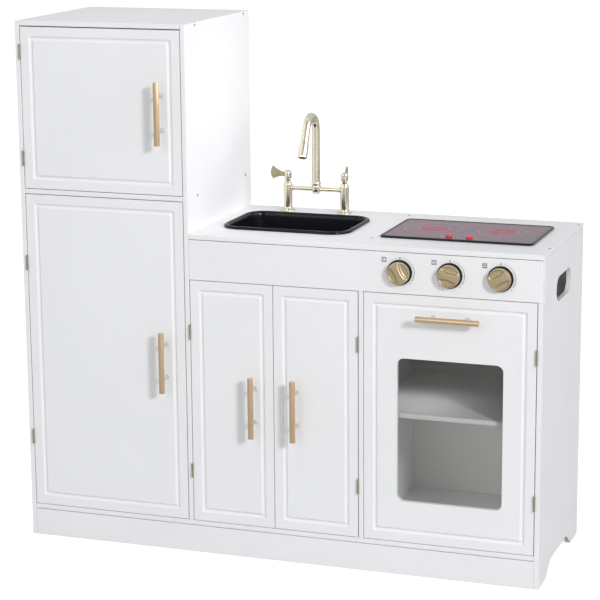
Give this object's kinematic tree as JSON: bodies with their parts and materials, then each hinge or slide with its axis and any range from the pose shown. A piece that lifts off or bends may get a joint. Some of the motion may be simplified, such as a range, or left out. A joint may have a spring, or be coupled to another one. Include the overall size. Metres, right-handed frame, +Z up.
{
  "type": "toy kitchen",
  "caption": "Free-standing play kitchen with a tall fridge-freezer, sink with bridge tap, hob, cupboard and oven, all with hinged doors, turning knobs and push buttons.",
  "frame": {"origin": "on the floor, at the centre of the outer box with the door handles included", "axes": "+X to the right along the front, +Y from the doors to the back, +Z up"},
  "size_m": [1.01, 0.3614, 1],
  "materials": {
    "white_lacquer": "satin white lacquer on fibreboard",
    "back_board": "matt white thin hardboard",
    "hinge_brass": "dull brass",
    "handle_gold": "brushed gold",
    "tap_champagne": "champagne metallic plating",
    "knob_gold": "satin gold metallic",
    "black_plastic": "gloss black",
    "hob_panel": "gloss plum with printed rings",
    "red_plastic": "gloss red",
    "oven_pane": "clear smoke-grey sheet"
  },
  "bodies": {
    "cabinet": {"left_side_panel": "white_lacquer", "right_side_panel": "white_lacquer", "fridge_right_panel": "white_lacquer", "oven_partition": "white_lacquer", "base_panel": "white_lacquer", "plinth_board": "white_lacquer", "fridge_top_panel": "white_lacquer", "freezer_floor_panel": "white_lacquer", "fridge_shelf": "white_lacquer", "oven_shelf": "white_lacquer", "fridge_back_panel": "back_board", "kitchen_back_panel": "back_board", "worktop": "white_lacquer", "control_panel": "white_lacquer", "knob_bezel_1": "black_plastic", "knob_bezel_2": "black_plastic", "knob_bezel_3": "black_plastic", "sink_basin": "black_plastic", "faucet_body": "tap_champagne", "hob_housing": "black_plastic", "hob_glass": "hob_panel", "freezer_door_upper_hinge_frame_leaf": "hinge_brass", "freezer_door_lower_hinge_frame_leaf": "hinge_brass", "fridge_door_upper_hinge_frame_leaf": "hinge_brass", "fridge_door_lower_hinge_frame_leaf": "hinge_brass", "cupboard_door_left_upper_hinge_frame_leaf": "hinge_brass", "cupboard_door_left_lower_hinge_frame_leaf": "hinge_brass", "cupboard_door_right_upper_hinge_frame_leaf": "hinge_brass", "cupboard_door_right_lower_hinge_frame_leaf": "hinge_brass", "oven_door_upper_hinge_frame_leaf": "hinge_brass", "oven_door_lower_hinge_frame_leaf": "hinge_brass"},
    "freezer_door_assembly": {"freezer_door": "white_lacquer", "freezer_handle": "handle_gold", "freezer_door_upper_hinge_door_leaf": "hinge_brass", "freezer_door_lower_hinge_door_leaf": "hinge_brass"},
    "fridge_door_assembly": {"fridge_door": "white_lacquer", "fridge_handle": "handle_gold", "fridge_door_upper_hinge_door_leaf": "hinge_brass", "fridge_door_lower_hinge_door_leaf": "hinge_brass"},
    "cupboard_door_left_assembly": {"cupboard_door_left": "white_lacquer", "cupboard_handle_left": "handle_gold", "cupboard_door_left_upper_hinge_door_leaf": "hinge_brass", "cupboard_door_left_lower_hinge_door_leaf": "hinge_brass"},
    "cupboard_door_right_assembly": {"cupboard_door_right": "white_lacquer", "cupboard_handle_right": "handle_gold", "cupboard_door_right_upper_hinge_door_leaf": "hinge_brass", "cupboard_door_right_lower_hinge_door_leaf": "hinge_brass"},
    "oven_door_assembly": {"oven_door": "white_lacquer", "oven_window": "oven_pane", "oven_handle": "handle_gold", "oven_door_upper_hinge_door_leaf": "hinge_brass", "oven_door_lower_hinge_door_leaf": "hinge_brass"},
    "knob_1_turning": {"knob_1": "knob_gold"},
    "knob_2_turning": {"knob_2": "knob_gold"},
    "knob_3_turning": {"knob_3": "knob_gold"},
    "spout": {"faucet_spout": "tap_champagne"},
    "lever_left": {"tap_lever_left": "tap_champagne"},
    "lever_right": {"tap_lever_right": "tap_champagne"},
    "button_left": {"hob_button_left": "red_plastic"},
    "button_right": {"hob_button_right": "red_plastic"}
  },
  "joints": [
    {"name": "freezer_door_hinge", "type": "hinge", "parent": "cabinet", "child": "freezer_door_assembly", "pos_m": [-0.4952, -0.15185, 0.843], "axis": [0, 0, -1], "range_deg": [0, 110]},
    {"name": "fridge_door_hinge", "type": "hinge", "parent": "cabinet", "child": "fridge_door_assembly", "pos_m": [-0.4952, -0.15185, 0.371], "axis": [0, 0, -1], "range_deg": [0, 110]},
    {"name": "cupboard_door_left_hinge", "type": "hinge", "parent": "cabinet", "child": "cupboard_door_left_assembly", "pos_m": [-0.1634, -0.15185, 0.29625], "axis": [0, 0, -1], "range_deg": [0, 110]},
    {"name": "cupboard_door_right_hinge", "type": "hinge", "parent": "cabinet", "child": "cupboard_door_right_assembly", "pos_m": [0.16445, -0.15185, 0.29625], "axis": [0, 0, 1], "range_deg": [0, 110]},
    {"name": "oven_door_hinge", "type": "hinge", "parent": "cabinet", "child": "oven_door_assembly", "pos_m": [0.4952, -0.15185, 0.29625], "axis": [0, 0, 1], "range_deg": [0, 110]},
    {"name": "knob_1_turn", "type": "hinge", "parent": "cabinet", "child": "knob_1_turning", "pos_m": [0.243, -0.14925, 0.569], "axis": [0, -1, 0], "continuous": true},
    {"name": "knob_2_turn", "type": "hinge", "parent": "cabinet", "child": "knob_2_turning", "pos_m": [0.3356, -0.14925, 0.569], "axis": [0, -1, 0], "continuous": true},
    {"name": "knob_3_turn", "type": "hinge", "parent": "cabinet", "child": "knob_3_turning", "pos_m": [0.4282, -0.14925, 0.569], "axis": [0, -1, 0], "continuous": true},
    {"name": "spout_swivel", "type": "hinge", "parent": "cabinet", "child": "spout", "pos_m": [-0.01475, 0.14275, 0.67], "axis": [0, 0, 1], "range_deg": [-90, 90]},
    {"name": "tap_lever_left_turn", "type": "hinge", "parent": "cabinet", "child": "lever_left", "pos_m": [-0.073, 0.14275, 0.68], "axis": [0, 0, 1], "range_deg": [-100, 90]},
    {"name": "tap_lever_right_turn", "type": "hinge", "parent": "cabinet", "child": "lever_right", "pos_m": [0.0435, 0.14275, 0.68], "axis": [0, 0, 1], "range_deg": [-190, 0]},
    {"name": "hob_button_left_press", "type": "slide", "parent": "cabinet", "child": "button_left", "axis": [0, 0, -1], "range_m": [0, 0.0015], "stiffness_N_per_m": 200, "springref_m": -0.002},
    {"name": "hob_button_right_press", "type": "slide", "parent": "cabinet", "child": "button_right", "axis": [0, 0, -1], "range_m": [0, 0.0015], "stiffness_N_per_m": 200, "springref_m": -0.002}
  ]
}
